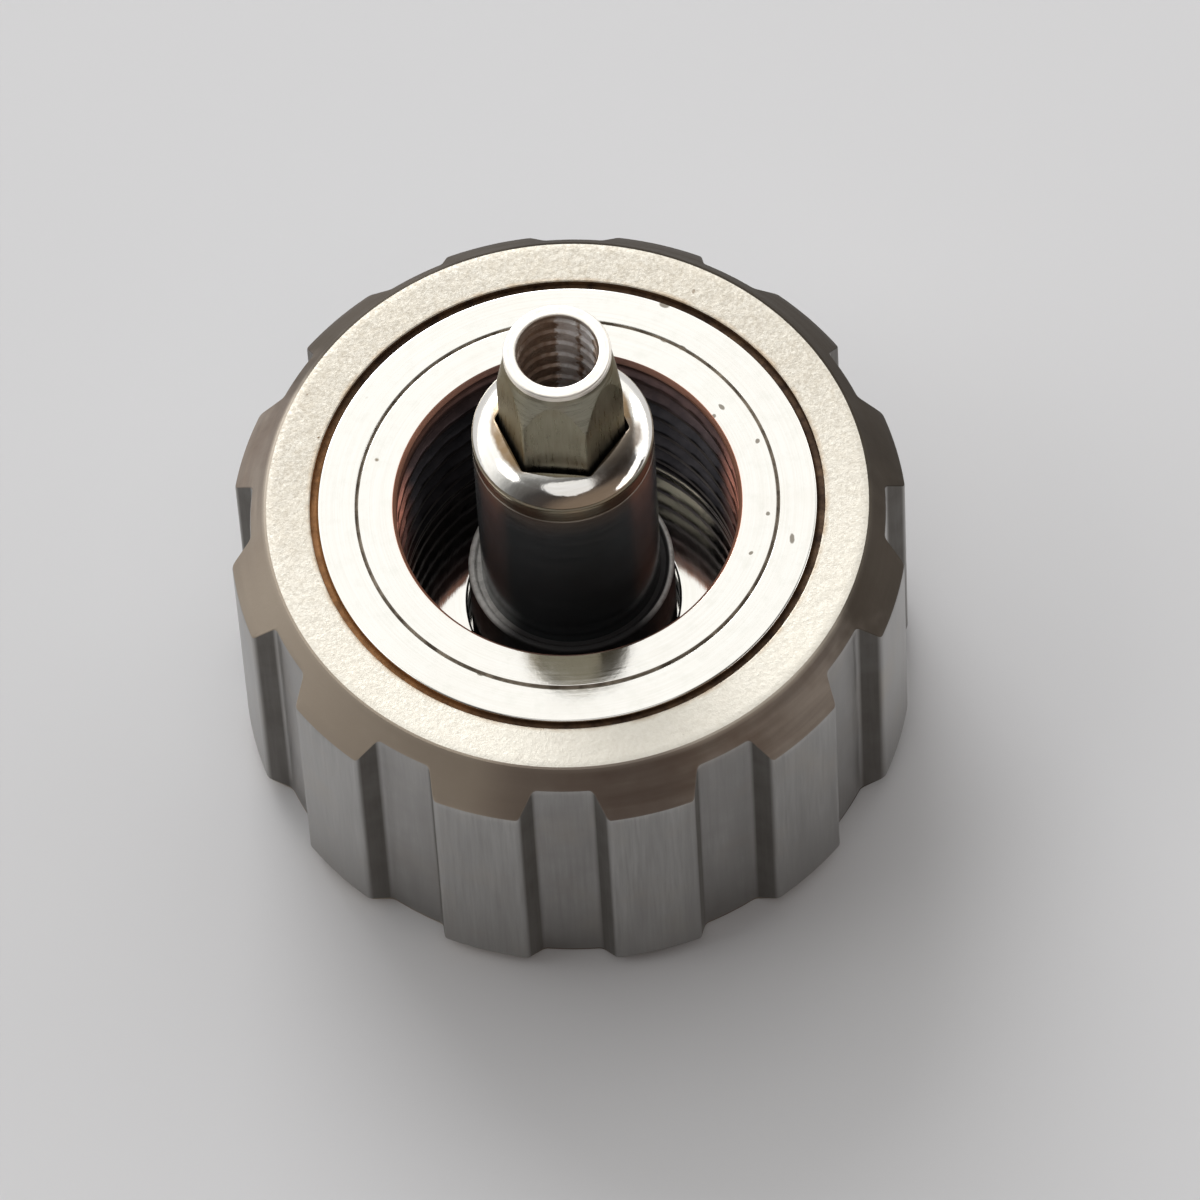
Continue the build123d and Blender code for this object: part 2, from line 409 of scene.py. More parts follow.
def brushed_face():
    n = Net("cap_face_brushed")
    lines = n.noise(1.0, 4, 0.65, n.around(2.0, 40, 0))
    blot = n.noise(0.8, 3, 0.6)
    col = n.mix(n.span(lines, 0.3, 0.7), rgb(0.56, 0.54, 0.51), rgb(0.76, 0.74, 0.70))
    col = n.mix(n.span(blot, 0.5, 0.75, 0, 0.3), col, rgb(0.60, 0.53, 0.44))
    rough = n.span(lines, 0.3, 0.7, 0.24, 0.38)
    return n.done(col, rough, n.bump(lines, 0.4, 0.005))


def groove_grime(name, low, light, warm=None):
    n = Net(name)
    a = n.noise(6, 4, 0.65)
    col = n.mix(n.span(a, 0.35, 0.7), rgb(*low), rgb(*light))
    if warm:
        # orange rust on one side
        side = n.math("DIVIDE", n.math("ADD", n.math("MULTIPLY", n.x, -0.985), n.math("MULTIPLY", n.y, -0.174)), n.r())
        col = n.mix(n.math("MULTIPLY", n.span(side, 0.55, 0.9, 0, 1, True), n.span(a, 0.3, 0.6, 0.5, 1.0)), col, rgb(*warm))
    rough = n.span(a, 0.3, 0.7, 0.75, 0.5)
    return n.done(col, rough, n.bump(a, 0.5, 0.01), metallic=0.35)


def polished(name, light=(0.985, 0.97, 0.93), low=(0.94, 0.92, 0.87), smooth=0.06, marks=True, placed=()):
    n = Net(name)
    lines = n.noise(1.0, 3, 0.6, n.around(1.5, 60, 40))
    blot = n.noise(1.5, 3, 0.55)
    col = n.mix(n.span(lines, 0.35, 0.65), rgb(*low), rgb(*light))
    col = n.mix(n.span(blot, 0.5, 0.78, 0, 0.30), col, rgb(0.82, 0.78, 0.70))
    rough = n.math("ADD", n.span(lines, 0.3, 0.7, smooth, smooth + 0.05), n.span(blot, 0.45, 0.75, 0, 0.06))
    nor = n.bump(lines, 0.05, 0.003)
    if marks:
        # small dents and dark specks in the polish
        pit = n.math("MULTIPLY", n.span(n.cells(3.0), 0.035, 0.085, 1, 0), n.span(n.noise(1.9, 2), 0.50, 0.56))
        col = n.mix(pit, col, rgb(0.25, 0.19, 0.13))
        nor = n.bump(pit, -0.6, 0.006, nor)
        # faint short scratches
        scratch = n.noise(1.0, 2, 0.5, n.stretched(3.0, 22, 10), 0.8)
        nor = n.bump(n.span(scratch, 0.62, 0.66), -0.10, 0.003, nor)
        dust = n.noise(22, 3, 0.6)
        nor = n.bump(dust, 0.06, 0.004, nor)
        # a faint cloudy film
        film = n.noise(5.5, 3, 0.6)
        col = n.mix(n.span(film, 0.50, 0.72, 0, 0.16), col, rgb(0.66, 0.68, 0.60))
    if placed:
        hit = n.spots(placed)
        col = n.mix(n.math("MULTIPLY", hit, 0.85), col, rgb(0.20, 0.17, 0.13))
        nor = n.bump(hit, -0.6, 0.008, nor)
    return n.done(col, rough, nor)


def thread_metal():
    n = Net("thread_stained")
    a = n.noise(5, 4, 0.6)
    b = n.noise(1.0, 3, 0.6, n.around(1.5, 40, 60))
    col = n.mix(n.span(a, 0.35, 0.7), rgb(0.034, 0.032, 0.036), rgb(0.060, 0.054, 0.058))
    # a red-brown film, painted strongest on the two sides seen edge-on as a painted grazing reflection, and a thin band
    # of it round the mouth
    across = n.math("DIVIDE", n.math("ADD", n.math("MULTIPLY", n.x, 0.9828), n.math("MULTIPLY", n.y, -0.1848)), n.r())
    side = n.math("MULTIPLY", n.span(n.math("ABSOLUTE", across), 0.88, 0.995, 0, 1, True), n.span(n.z, RIM_Z - 1.5, RIM_Z - 0.4, 0.25, 1, True))
    col = n.mix(n.math("MULTIPLY", side, n.span(a, 0.3, 0.6, 0.6, 1.0)), col, rgb(0.85, 0.33, 0.225))
    high = n.span(n.z, RIM_Z - 0.75, RIM_Z - 0.05, 0, 0.85)
    col = n.mix(n.math("MULTIPLY", high, n.span(a, 0.3, 0.6, 0.55, 1.0)), col, rgb(0.24, 0.135, 0.120))
    mouth = n.span(n.z, RIM_Z - 0.24, RIM_Z - 0.04, 0, 1)
    col = n.mix(n.math("MULTIPLY", mouth, n.span(n.math("ABSOLUTE", across), 0.35, 0.9, 0.25, 0.9)), col, rgb(0.84, 0.40, 0.265))
    # painted highlight: the undersides of the thread are painted lighter in one place
    c = n.node("ShaderNodeTexCoord")
    up = n.node("ShaderNodeSeparateXYZ")
    n.link(c.outputs["Normal"], up.inputs[0])
    under_glint = n.span(up.outputs[2], -0.30, -0.62, 0, 1)
    toward = n.math("DIVIDE", n.math("ADD", n.math("MULTIPLY", n.x, math.cos(rad(37))), n.math("MULTIPLY", n.y, math.sin(rad(37)))), n.r())
    toward = n.math("ADD", toward, n.math("MULTIPLY", n.math("SUBTRACT", a, 0.5), 0.06))
    under_glint = n.math("MULTIPLY", under_glint, n.span(n.z, RIM_Z - 1.15, RIM_Z - 0.75, 1, 0, True))
    col = n.mix(n.math("MULTIPLY", under_glint, n.span(toward, 0.962, 0.992, 0, 1, True)), col, rgb(0.34, 0.325, 0.28))
    rough = n.span(b, 0.3, 0.7, 0.26, 0.42)
    return n.done(col, rough, n.bump(b, 0.2, 0.004), metallic=0.7, Specular_Tint=rgb(0.35, 0.33, 0.32))


def barrel_metal():
    n = Net("barrel_dark_polish")
    lines = n.noise(1.0, 3, 0.6, n.around(1.0, 6, 12))
    blot = n.noise(2.2, 3, 0.6)
    col = n.mix(n.span(lines, 0.3, 0.7), rgb(0.155, 0.172, 0.182), rgb(0.20, 0.217, 0.225))
    col = n.mix(n.span(blot, 0.5, 0.75, 0, 0.35), col, rgb(0.13, 0.12, 0.115))
    # painted reflection: a lighter brown band just under the collar
    high = n.span(n.z, BARREL_TOP - 0.30, BARREL_TOP, 0, 0.8)
    col = n.mix(high, col, rgb(0.30, 0.25, 0.20))
    rough = n.span(lines, 0.3, 0.7, 0.16, 0.24)
    return n.done(col, rough, n.bump(blot, 0.10, 0.003), metallic=0.80)


def collar_side():
    n = Net("collar_side_shade_and_stain")
    lines = n.noise(1.0, 3, 0.6, n.around(1.0, 12, 40))
    blot = n.noise(3.0, 3, 0.6)
    # painted shade: the collar's side is a much darker copy of its polished steel; the brown blots on it are stain
    col = n.mix(n.span(lines, 0.3, 0.7), rgb(0.17, 0.15, 0.11), rgb(0.26, 0.235, 0.18))
    col = n.mix(n.span(blot, 0.45, 0.7, 0, 0.5), col, rgb(0.30, 0.20, 0.12))
    rough = n.span(lines, 0.3, 0.7, 0.16, 0.28)
    return n.done(col, rough, n.bump(lines, 0.15, 0.003))


def guide_top():
    n = Net("guide_polished")
    lines = n.noise(1.0, 3, 0.6, n.around(1.5, 40, 30))
    blot = n.noise(4.0, 3, 0.6)
    col = n.mix(n.span(lines, 0.35, 0.65), rgb(0.90, 0.875, 0.82), rgb(0.97, 0.95, 0.91))
    # a brown stain close to the hexagonal hole, broken at the front
    near = n.span(n.math("ADD", n.r(), n.math("MULTIPLY", n.math("SUBTRACT", blot, 0.5), 0.10)), 0.70, 0.745, 1, 0, True)
    clear = n.span(n.math("ADD", n.math("MULTIPLY", n.x, STAIN_X), n.math("MULTIPLY", n.y, STAIN_Y)), 0.50, 0.60, 1, 0, True)
    stain = n.math("MULTIPLY", near, clear)
    col = n.mix(n.math("MULTIPLY", stain, n.span(blot, 0.3, 0.6, 0.75, 1.0)), col, rgb(0.30, 0.21, 0.125))
    # a grey-brown film beside one flat
    film = n.math("ADD", n.math("MULTIPLY", n.x, math.cos(rad(-46))), n.math("MULTIPLY", n.y, math.sin(rad(-46))))
    film = n.math("MULTIPLY", n.span(n.math("DIVIDE", film, n.r()), 0.78, 0.90, 0, 1, True), n.span(n.math("ADD", n.r(), n.math("MULTIPLY", n.math("SUBTRACT", blot, 0.5), 0.12)), 0.79, 0.84, 1, 0, True))
    col = n.mix(n.math("MULTIPLY", film, n.span(blot, 0.3, 0.6, 0.7, 1.0)), col, rgb(0.30, 0.25, 0.205))
    rough = n.math("ADD", n.span(lines, 0.3, 0.7, 0.07, 0.12), n.math("MULTIPLY", n.math("MAXIMUM", stain, film), 0.12))
    nor = n.bump(lines, 0.08, 0.003)
    nor = n.bump(n.noise(11, 3, 0.6), 0.22, 0.006, nor)
    return n.done(col, rough, nor)


def countersink_metal():
    n = Net("countersink_stained")
    a = n.noise(9, 3, 0.6)
    col = n.mix(n.span(a, 0.35, 0.68), rgb(0.20, 0.115, 0.055), rgb(0.52, 0.42, 0.31))
    rough = n.span(a, 0.3, 0.7, 0.36, 0.20)
    return n.done(col, rough, n.bump(a, 0.25, 0.006))


def post_metal():
    n = Net("post_satin")
    streak = n.noise(1.0, 4, 0.6, n.stretched(26, 26, 2.2))
    blot = n.noise(2.4, 3, 0.6)
    col = n.mix(n.span(streak, 0.3, 0.7), rgb(0.25, 0.24, 0.185), rgb(0.36, 0.34, 0.27))
    col = n.mix(n.span(blot, 0.5, 0.75, 0, 0.4), col, rgb(0.24, 0.19, 0.14))
    rough = n.span(streak, 0.3, 0.7, 0.24, 0.36)
    return n.done(col, rough, n.bump(streak, 0.2, 0.004), Specular_Tint=rgb(0.42, 0.38, 0.33))


def post_cone():
    n = Net("post_cone_turned")
    lines = n.noise(1.0, 3, 0.6, n.around(1.6, 50, 34))
    blot = n.noise(2.8, 3, 0.6)
    col = n.mix(n.span(lines, 0.3, 0.7), rgb(0.25, 0.24, 0.19), rgb(0.36, 0.345, 0.28))
    col = n.mix(n.span(blot, 0.5, 0.75, 0, 0.45), col, rgb(0.25, 0.195, 0.145))
    rough = n.span(lines, 0.3, 0.7, 0.24, 0.36)
    return n.done(col, rough, n.bump(lines, 0.2, 0.004), Specular_Tint=rgb(0.42, 0.38, 0.33))


def post_tip():
    n = Net("post_tip_turned")
    lines = n.noise(1.0, 3, 0.6, n.around(1.6, 60, 30))
    grain = n.noise(24, 3, 0.6)
    col = n.mix(n.span(lines, 0.3, 0.7), rgb(0.80, 0.75, 0.68), rgb(0.93, 0.89, 0.83))
    rough = n.span(grain, 0.3, 0.7, 0.28, 0.42)
    return n.done(col, rough, n.bump(grain, 0.2, 0.004))


def bore_metal():
    n = Net("post_bore_stained")
    a = n.noise(9, 3, 0.6)
    fine = n.noise(26, 3, 0.6)
    col = n.mix(n.span(a, 0.35, 0.7), rgb(0.34, 0.235, 0.175), rgb(0.54, 0.44, 0.36))
    # two strips of the thread are painted bright as painted highlights
    keep = None
    for deg, lo, hi in ((64, 0.950, 0.980), (30, 0.965, 0.988)):
        d = n.math("DIVIDE", n.math("ADD", n.math("MULTIPLY", n.x, math.cos(rad(deg))), n.math("MULTIPLY", n.y, math.sin(rad(deg)))), n.r())
        d = n.math("ADD", d, n.math("MULTIPLY", n.math("SUBTRACT", a, 0.5), 0.07))
        d = n.span(n.math("ADD", d, n.math("MULTIPLY", n.math("SUBTRACT", fine, 0.5), 0.06)), lo, hi, 0, 1, True)
        keep = d if keep is None else n.math("MAXIMUM", keep, d)
    col = n.mix(n.math("MULTIPLY", keep, n.span(a, 0.3, 0.55, 0.55, 1.0)), col, rgb(0.97, 0.97, 0.98))
    # the mouth is stained dark
    top = n.span(n.z, TIP_Z - 0.10, TIP_Z - 0.03, 0, 0.8)
    col = n.mix(top, col, rgb(0.12, 0.085, 0.06))
    rough = n.span(a, 0.3, 0.7, 0.34, 0.24)
    # the painted highlight strips are also made non-metallic
    metal = n.span(keep, 0, 1, 0.25, 0.0)
    n.link(metal, n.bsdf.inputs["Metallic"])
    return n.done(col, rough, n.bump(a, 0.15, 0.003), metallic=0.25)


def black_rubber():
    n = Net("seal_black_rubber")
    a = n.noise(14, 4, 0.6)
    b = n.noise(2.5, 3, 0.6)
    col = n.mix(n.span(b, 0.35, 0.7), rgb(0.014, 0.013, 0.014), rgb(0.032, 0.028, 0.028))
    rough = n.span(a, 0.3, 0.7, 0.34, 0.48)
    return n.done(col, rough, n.bump(a, 0.15, 0.004), metallic=0.0, Specular_IOR_Level=0.4)


def seal_lip():
    n = Net("seal_lip_painted_sheen")
    a = n.noise(14, 4, 0.6)
    # painted highlight: the lip is coloured light grey for the sheen on the rubber's rounded edge
    col = n.mix(n.span(a, 0.35, 0.7), rgb(0.52, 0.505, 0.48), rgb(0.74, 0.72, 0.685))
    # painted highlight: the light grey covers the whole top on one side, only the edge on the other, and nothing at the
    # front
    side = n.math("DIVIDE", n.math("ADD", n.math("MULTIPLY", n.x, 0.174), n.math("MULTIPLY", n.y, 0.985)), n.r())
    wide = n.math("DIVIDE", n.math("ADD", n.math("MULTIPLY", n.x, -0.985), n.math("MULTIPLY", n.y, 0.174)), n.r())
    inner = n.math("MULTIPLY", n.span(n.r(), 1.015, 1.03, 1, 0), n.span(wide, 0.35, 0.75, 1, 0, True))
    dark = n.math("MAXIMUM", inner, n.span(side, -0.50, -0.82, 0, 1, True))
    col = n.mix(dark, col, rgb(0.030, 0.028, 0.028))
    rough = n.math("ADD", n.span(a, 0.3, 0.7, 0.22, 0.36), n.math("MULTIPLY", dark, 0.34))
    return n.done(col, rough, n.bump(a, 0.15, 0.004), metallic=0.0, Specular_IOR_Level=0.5)


def wire_metal():
    n = Net("spring_drawn_wire")
    a = n.noise(12, 3, 0.6)
    col = n.mix(n.span(a, 0.3, 0.7), rgb(0.52, 0.52, 0.52), rgb(0.70, 0.70, 0.69))
    rough = n.span(a, 0.3, 0.7, 0.22, 0.36)
    return n.done(col, rough, n.bump(a, 0.2, 0.003))


M_RIM, M_BEVEL, M_FLUTE, M_FACE = blasted_rim(), turned_bevel(), brushed_flutes(), brushed_face()
M_GROOVE = groove_grime("groove_grime", (0.045, 0.020, 0.009), (0.17, 0.095, 0.045), (0.38, 0.18, 0.06))
M_LINE = groove_grime("line_grime", (0.15, 0.12, 0.09), (0.50, 0.44, 0.36))
# x, y, size, length over width and direction of the specks, nicks and smears on the rings
RING_MARKS = [
    (2.072, 0.198, 0.024, 1.3, 60), (1.961, -0.665, 0.021, 1.2, 80), (2.125, -1.015, 0.026, 2.4, 75), (1.676, -1.071, 0.020, 1.4, 20),
    (1.814, 0.688, 0.022, 2.0, 115), (1.713, 0.604, 0.022, 1.2, 60), (1.543, 2.031, 0.034, 1.7, 145), (1.439, 1.622, 0.024, 2.0, 138),
    (1.595, 1.480, 0.028, 1.6, 133), (-1.351, -1.725, 0.020, 1.8, -38),
]
M_RING = polished("ring_polished", placed=RING_MARKS)
M_FLOOR = polished("washer_polished", smooth=0.02, marks=False)
M_GUIDE = guide_top()
M_THREAD, M_BARREL = thread_metal(), barrel_metal()
M_SIDE, M_SINK = collar_side(), countersink_metal()
M_POST, M_CONE, M_TIP, M_BORE = post_metal(), post_cone(), post_tip(), bore_metal()
M_RUBBER, M_WIRE = black_rubber(), wire_metal()
M_LIP = seal_lip()

# ------------------------------------------------------------------ crown cap
# One column of points for each place on the fluted outline, so that every edge lies along the mesh.


def soft_corner(p, a, b, reach, k=4):
    """Points of a small curve at corner p, from the side of a to the side of b."""
    p, a, b = (np.array(q) for q in (p, a, b))
    s = p + (a - p) / np.linalg.norm(a - p) * reach
    e = p + (b - p) / np.linalg.norm(b - p) * reach
    return [tuple((1 - t) ** 2 * s + 2 * t * (1 - t) * p + t * t * e) for t in np.linspace(0, 1, k + 1)]


def pol(r, deg):
    return (r * math.cos(rad(deg)), r * math.sin(rad(deg)))


outline = []
STEP = 360 / FLUTES
for k in range(FLUTES):
    c = k * STEP
    la, lb = c - LAND_HALF, c + LAND_HALF
    va, vb = c + STEP / 2 - VALLEY_HALF, c + STEP / 2 + VALLEY_HALF
    for d in np.linspace(la + 0.9, lb - 0.9, 9):
        outline.append(pol(TIP_R, d))
    P, Q = pol(TIP_R, lb), pol(VALLEY_R, va)
    outline += soft_corner(P, pol(TIP_R, lb - 1), Q, 0.035)
    outline += soft_corner(Q, P, pol(VALLEY_R, va + 1), 0.045)
    for d in np.linspace(va + 1.2, vb - 1.2, 7):
        outline.append(pol(VALLEY_R, d))
    P, Q = pol(VALLEY_R, vb), pol(TIP_R, c + STEP - LAND_HALF)
    outline += soft_corner(P, pol(VALLEY_R, vb - 1), Q, 0.045)
    outline += soft_corner(Q, P, pol(TIP_R, c + STEP - LAND_HALF + 1), 0.035)
outline = np.array(outline)
TH = np.arctan2(outline[:, 1], outline[:, 0])
RO = np.hypot(outline[:, 0], outline[:, 1])
RO = np.minimum(RO, TIP_R)


def column(rr, z):
    return ring(rr, z, TH)


rings, bands = [], []


def add(r, m):
    rings.append(r)
    bands.append(m)


e = 0.022                                       # size of the broken edges
face_r0 = np.minimum(FACE_R, RO)
slope = FACE_H / (TIP_R - FACE_R)
zf = np.maximum(RO - FACE_R, 0) * slope         # where the lower bevel meets the flutes
zb = RIM_Z - (RO - RIM_R) / (TIP_R - RIM_R) * BEVEL_H
add((0, 0, 0.0), 3)
for r in (0.6, 1.2, 1.8, 2.4, 2.9, 3.15):
    add(column(r, 0.0), 3)
add(column(face_r0 - 0.03, 0.0), 3)
add(column(face_r0 - 0.008, 0.004), 1)
t = 0.05
add(column(FACE_R + (face_r0 - FACE_R) * 0 + np.maximum(RO - FACE_R, 0.0) * t, np.maximum(zf * t, 0.012)), 1)
add(column(FACE_R + np.maximum(RO - FACE_R, 0.0) * 0.90, np.maximum(zf * 0.90, 0.020)), 1)
add(column(RO - 0.004, zf + 0.012 + 0.008), 2)
add(column(RO, zf + 0.045), 2)
for f in np.linspace(0.03, 0.97, 12):
    add(column(RO, (zf + 0.045) * (1 - f) + (zb - 0.03) * f), 2)
add(column(RO, zb - 0.028), 2)
add(column(RO - 0.0045, zb - 0.006), 1)
bev = np.array((-(TIP_R - RIM_R), BEVEL_H))
bev = bev / np.linalg.norm(bev)
add(column(RO + bev[0] * e, zb + bev[1] * e), 1)
for f in (0.25, 0.5, 0.75):
    add(column(RO * (1 - f) + RIM_R * f, zb * (1 - f) + RIM_Z * f), 1)
add(column(RIM_R - bev[0] * 0.03, RIM_Z - bev[1] * 0.03), 1)
add(column(RIM_R + 0.004, RIM_Z - 0.007), 1)
add(column(RIM_R - 0.022, RIM_Z), 0)
for r in (3.02, 2.92, 2.82, 2.74):
    add(column(r, RIM_Z), 0)
add(column(CAVITY_R + 0.018, RIM_Z), 0)
add(column(CAVITY_R + 0.005, RIM_Z - 0.006), 4)
add(column(CAVITY_R, RIM_Z - 0.02), 4)
add(column(CAVITY_R, RIM_Z - GROOVE_H), 4)
add(column(CAVITY_R, CAP_FLOOR), 3)
for r in (2.2, 1.5, 0.8):
    add(column(r, CAP_FLOOR), 3)
add((0, 0, CAP_FLOOR), 3)
crown_cap = skin("crown_cap_visual", rings, bands, [M_RIM, M_BEVEL, M_FLUTE, M_FACE, M_GROOVE], angle=24)

# ------------------------------------------------------------------- core cup
profile = fillet(
    [
        (1.42, CAP_FLOOR, 0.02), (CAVITY_R, CAP_FLOOR, 0.02), (CAVITY_R, RIM_Z - 0.075, 0.0), (CUP_TOP_R + 0.008, RIM_Z - 0.075, 0.03),
        (CUP_TOP_R, RIM_Z, 0.020), (2.194, RIM_Z, 0.008), (2.174, RIM_Z - 0.026, 0.0), (2.174, CUP_FLOOR1, 0.02),
        (0.95, CUP_FLOOR1, 0.02), (0.95, CUP_FLOOR0, 0.0), (1.42, CUP_FLOOR0, 0.0),
    ],
    True,
)


def cup_band(r, z):
    if z > RIM_Z - 0.16 and z < RIM_Z - 0.012 and r > 2.56:
        return 1
    if z > RIM_Z - 0.05 and r < 2.192:
        return 2
    return 0


core_cup = lathe("core_cup_visual", profile, [M_RING, M_GROOVE, M_LINE], cup_band, 320)

# ---------------------------------------------------------------- thread bush
theta = np.arange(320) * 2 * math.pi / 320
CREST, ROOT, PITCH = 1.765, 1.905, 0.30
rows = thread_rows(CREST, ROOT, PITCH, RIM_Z - 0.055, BUSH_Z0 + 0.05, theta, 170, 0.30, 0.10)
edge_pts = fillet(
    [
        (CREST, BUSH_Z0 + 0.02, 0.0), (1.80, BUSH_Z0, 0.0), (2.174, BUSH_Z0, 0.0), (2.174, RIM_Z - 0.026, 0.0),
        (2.154, RIM_Z, 0.008), (1.802, RIM_Z, 0.010), (1.778, RIM_Z - 0.035, 0.0),
    ],
    True,
)
rings, bands = [], []
for p in edge_pts:
    rings.append(ring(p[0], p[1], theta))
    bands.append(2 if p[0] > 2.12 and p[1] > RIM_Z - 0.03 and p[1] < RIM_Z - 0.001 else 0)
for i in range(len(bands)):
    if edge_pts[i][0] < 1.793 or (edge_pts[i][0] < 1.806 and edge_pts[i][1] > RIM_Z - 0.05):
        bands[i] = 1
for p in rows:
    rings.append(p)
    bands.append(1)
thread_bush = skin("thread_bush_visual", rings, bands, [M_RING, M_THREAD, M_LINE], loop=True, angle=35)

# ------------------------------------------------------ washer, gasket and seal
retainer_washer = lathe(
    "retainer_washer_visual",
    fillet([(1.11, GASKET_TOP, 0.01), (2.15, GASKET_TOP, 0.01), (2.15, WASHER_TOP, 0.02), (1.11, WASHER_TOP, 0.02)], True),
    [M_FLOOR], None, 256,
)
flat_gasket = lathe(
    "flat_gasket_visual",
    fillet([(1.12, CUP_FLOOR1, 0.05), (2.15, CUP_FLOOR1, 0.05), (2.15, GASKET_TOP, 0.05), (1.12, GASKET_TOP, 0.05)], True),
    [M_RUBBER], None, 192,
)
barrel_seal = lathe(
    "barrel_seal_visual",
    fillet([(0.93, CUP_FLOOR1, 0.0), (1.07, CUP_FLOOR1, 0.02), (1.07, SEAL_TOP, 0.035), (1.005, SEAL_TOP, 0.02), (0.985, SEAL_TOP - 0.04, 0.02), (0.93, SEAL_TOP - 0.04, 0.0)], True),
    [M_RUBBER, M_LIP], lambda r, z: 1 if z > SEAL_TOP - 0.10 else 0, 160,
)

# ------------------------------------------------------------------ barrel
barrel = lathe(
    "barrel_visual",
    fillet(
        [
            (0.0, CAP_FLOOR, 0.0), (1.40, CAP_FLOOR, 0.03), (1.40, CUP_FLOOR0, 0.03), (0.93, CUP_FLOOR0, 0.02), (0.93, BARREL_TOP, 0.012),
            (0.79, BARREL_TOP, 0.012), (0.79, BARREL_FLOOR, 0.04), (0.0, BARREL_FLOOR, 0.0),
        ],
        False,
    ),
    [M_BARREL], None, 192, loop=False,
)


# --------------------------------------------------------------- hexagon tools
def hex_columns(af, corner, per_side=9, per_corner=4):
    """Angles and radii round a hexagon with rounded corners, one flat facing HEX_DEG."""
    pts = []
    R = af / math.sqrt(3)
    for k in range(6):
        a = HEX_DEG - 30 + 60 * k
        P, Q, O = pol(R, a), pol(R, a + 60), pol(R, a - 60)
        pts += soft_corner(P, O, Q, corner, per_corner)
        P, Q = np.array(P), np.array(Q)
        u = (Q - P) / np.linalg.norm(Q - P)
        for s in np.linspace(corner, np.linalg.norm(Q - P) - corner, per_side)[1:-1]:
            pts.append(tuple(P + u * s))
    pts = np.array(pts)
    return np.arctan2(pts[:, 1], pts[:, 0]), np.hypot(pts[:, 0], pts[:, 1])


# ----------------------------------------------------------------- hex guide
GT, GH = hex_columns(GUIDE_AF, 0.035, 11, 4)
DOME0, DOME = 0.55, 0.45                        # the collar's domed top
rings, bands = [], []


def gadd(r, z, m):
    rings.append(ring(r, z, GT))
    bands.append(m)


gadd(GH, GUIDE_Z0, 0)
gadd(0.785, GUIDE_Z0, 0)
gadd(0.79, GUIDE_Z0 + 0.01, 0)
gadd(0.79, BARREL_TOP, 0)
gadd(0.918, BARREL_TOP, 2)
gadd(0.93, BARREL_TOP + 0.012, 2)


def dome(r):
    return GUIDE_TOP - DOME + np.sqrt(DOME ** 2 - np.maximum(r - DOME0, 0) ** 2)


gadd(0.93, float(dome(0.93)) - 0.05, 2)
gadd(0.93, float(dome(0.93)) - 0.012, 2)
gadd(0.925, float(dome(0.925)) - 0.002, 2)
gadd(0.915, float(dome(0.915)), 0)
for r in np.linspace(0.905, 0.72, 14):
    gadd(r, float(dome(r)), 0)
for f in (0.75, 0.5, 0.25):
    q = GH + 0.014 + (0.71 - GH) * f
    gadd(q, dome(q), 0)
gadd(GH + 0.014, dome(GH + 0.014), 0)
gadd(GH + 0.004, dome(GH + 0.004) - 0.004, 1)
gadd(GH, dome(GH) - 0.018, 1)
gadd(GH, GUIDE_TOP - 0.25, 1)
gadd(GH, GUIDE_Z0 + 0.2, 1)
hex_guide = skin("hex_guide_visual", rings, bands, [M_GUIDE, M_SINK, M_SIDE], loop=True, angle=30)

# ----------------------------------------------------------------- stem post
turned_deg = math.degrees(math.acos(POST_AF / 2 / POST_CORNER))
corner_edge = (60 - 2 * turned_deg) * 0.2
PT, PH = [], []
for k in range(6):
    for d in np.linspace(-turned_deg + 1.2, turned_deg - 1.2, 13):
        PT.append(HEX_DEG + 60 * k + d)
        PH.append(POST_AF / 2 / math.cos(rad(d)))
    PT.append(HEX_DEG + 60 * k + turned_deg)
    PH.append(POST_CORNER - 0.0035)
    for d in np.linspace(turned_deg + corner_edge, 60 - turned_deg - corner_edge, 4):
        PT.append(HEX_DEG + 60 * k + d)
        PH.append(POST_CORNER)
    PT.append(HEX_DEG + 60 * (k + 1) - turned_deg)
    PH.append(POST_CORNER - 0.0035)
PT, PH = np.radians(np.array(PT)), np.array(PH)
RR, LEAD0, LEAD1 = 0.55, TIP_Z - 0.14, TIP_Z - 0.69
rings, bands = [], []


def padd(r, z, m):
    rings.append(ring(r, z, PT))
    bands.append(m)


rings.append((0, 0, TAIL_Z0))
bands.append(0)
padd(0.35, TAIL_Z0, 0)
padd(0.40, TAIL_Z0 + 0.05, 0)
padd(0.40, HEAD_Z0, 0)
padd(0.74, HEAD_Z0, 0)
padd(0.77, HEAD_Z0 + 0.03, 0)
padd(0.77, HEAD_TOP - 0.03, 0)
padd(0.74, HEAD_TOP, 0)
padd(PH + 0.004, HEAD_TOP, 0)
padd(PH, HEAD_TOP + 0.02, 0)
zh = LEAD0 - (PH - RR) / (POST_CORNER - RR) * (LEAD0 - LEAD1)
for f in (0.2, 0.4, 0.6, 0.8):
    padd(PH, (HEAD_TOP + 0.02) * (1 - f) + (zh - 0.04) * f, 0)
padd(PH, zh - 0.034, 0)
padd(PH - 0.0012, zh - 0.010, 2)
padd(PH - 0.0045, zh + 0.016, 2)
for f in (0.35, 0.7):
    padd((PH - 0.0045) * (1 - f) + RR * f, (zh + 0.016) * (1 - f) + LEAD0 * f, 2)
padd(RR + 0.0018, LEAD0 - 0.009, 2)
padd(RR, LEAD0 + 0.012, 2)
padd(RR, TIP_Z - 0.075, 1)
padd(RR, TIP_Z - 0.022, 1)
for a in np.linspace(0, 90, 6)[1:-1]:
    padd(RR - 0.02 + 0.02 * math.cos(rad(a)), TIP_Z - 0.02 + 0.02 * math.sin(rad(a)), 1)
padd(RR - 0.021, TIP_Z, 1)
padd(RR - 0.027, TIP_Z, 1)
padd(0.443, TIP_Z, 1)
